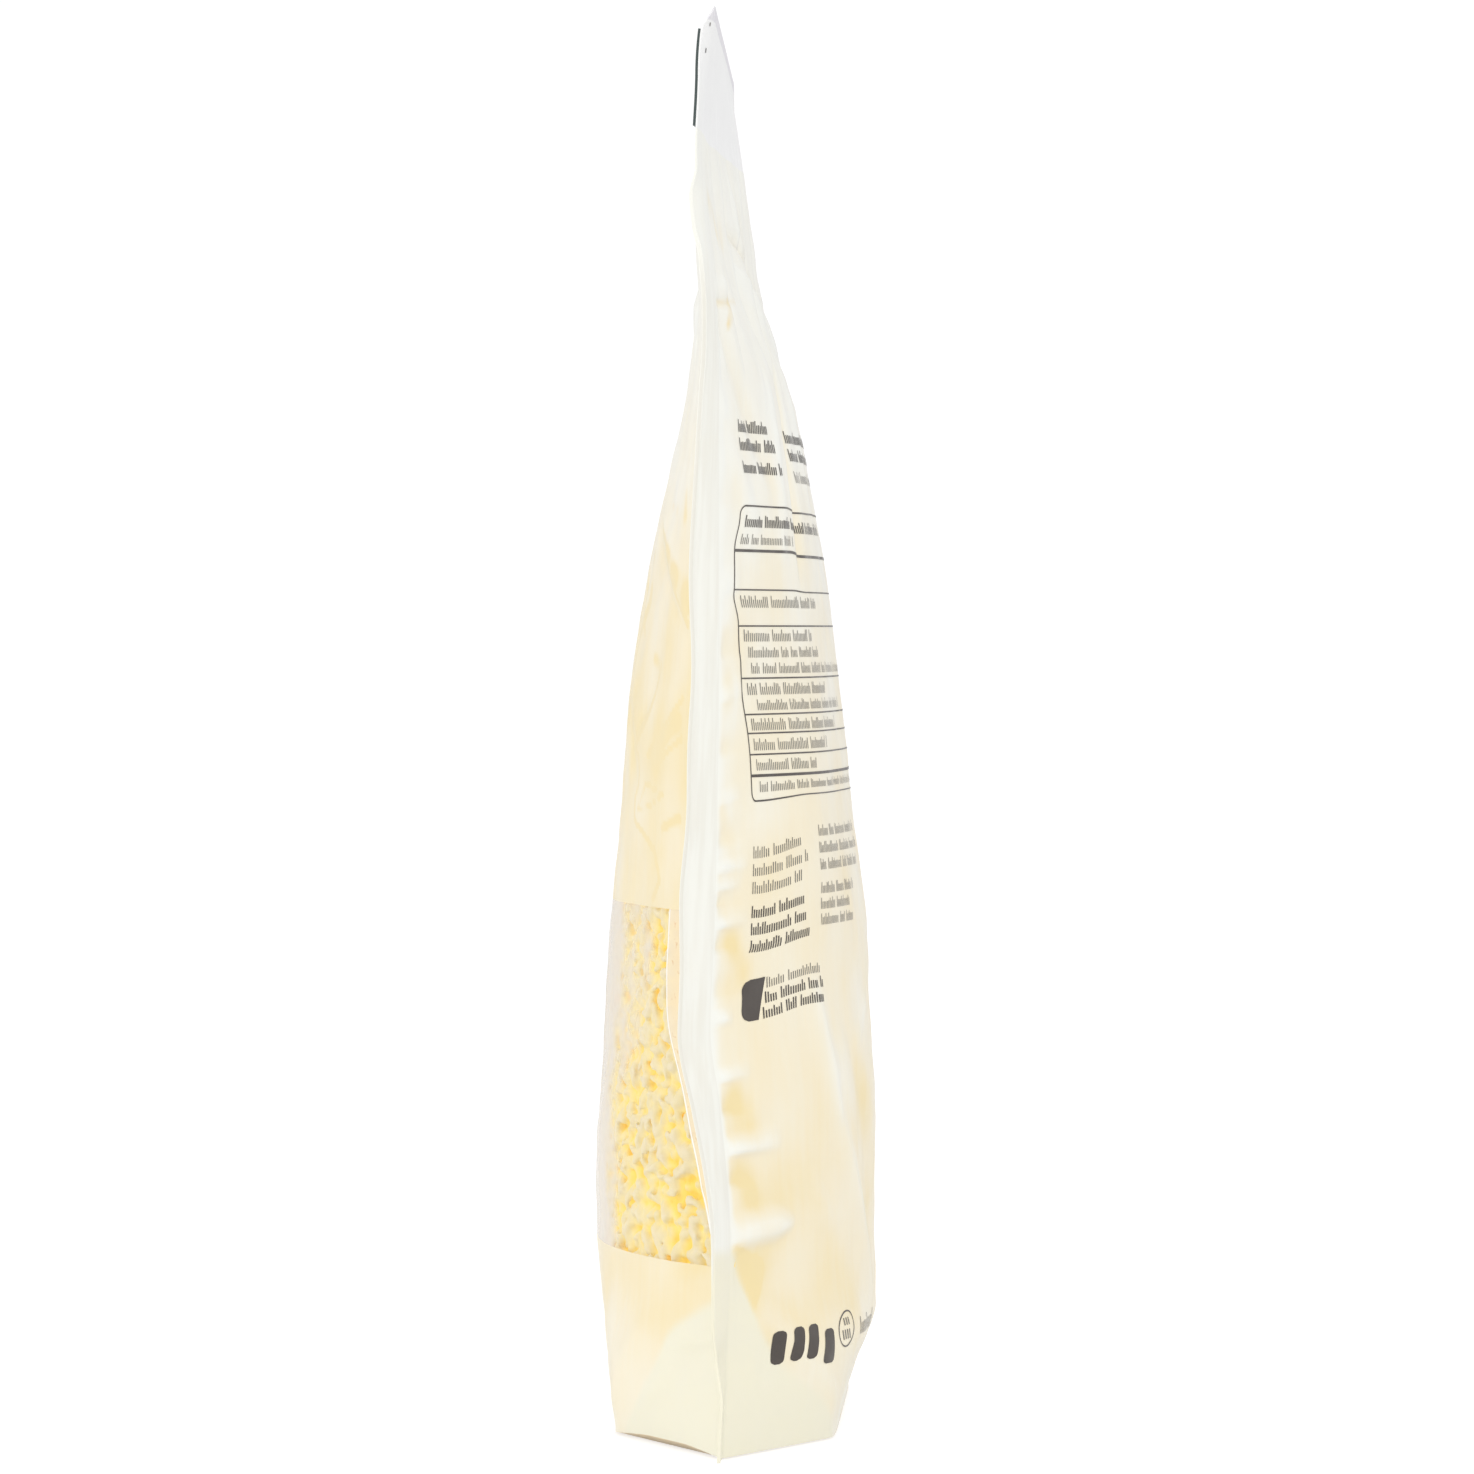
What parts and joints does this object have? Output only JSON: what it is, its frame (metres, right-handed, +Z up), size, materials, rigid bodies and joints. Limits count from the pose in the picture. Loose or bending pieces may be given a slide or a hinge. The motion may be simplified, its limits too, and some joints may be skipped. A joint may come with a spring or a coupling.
{
  "type": "bag of grated gruyere cheese",
  "caption": "Filled stand-up pouch of grated hard cheese, with a gusset base, side seals, a sealed flat header and a clear window low on its front.",
  "frame": {"origin": "on the ground, under the middle of the pouch's box", "axes": "+Z up, +X along the pouch's width, -Y out of its printed front, +Y out of its back"},
  "size_m": [0.1645, 0.0511, 0.25],
  "materials": {
    "printed_film": "satin film, printed cream",
    "grated_cheese": "moist grated cheese",
    "dark_print": "satin dark print"
  },
  "bodies": {
    "root": {"pouch": "printed_film", "grated_cheese": "grated_cheese", "front_label": "dark_print"}
  },
  "joints": []
}
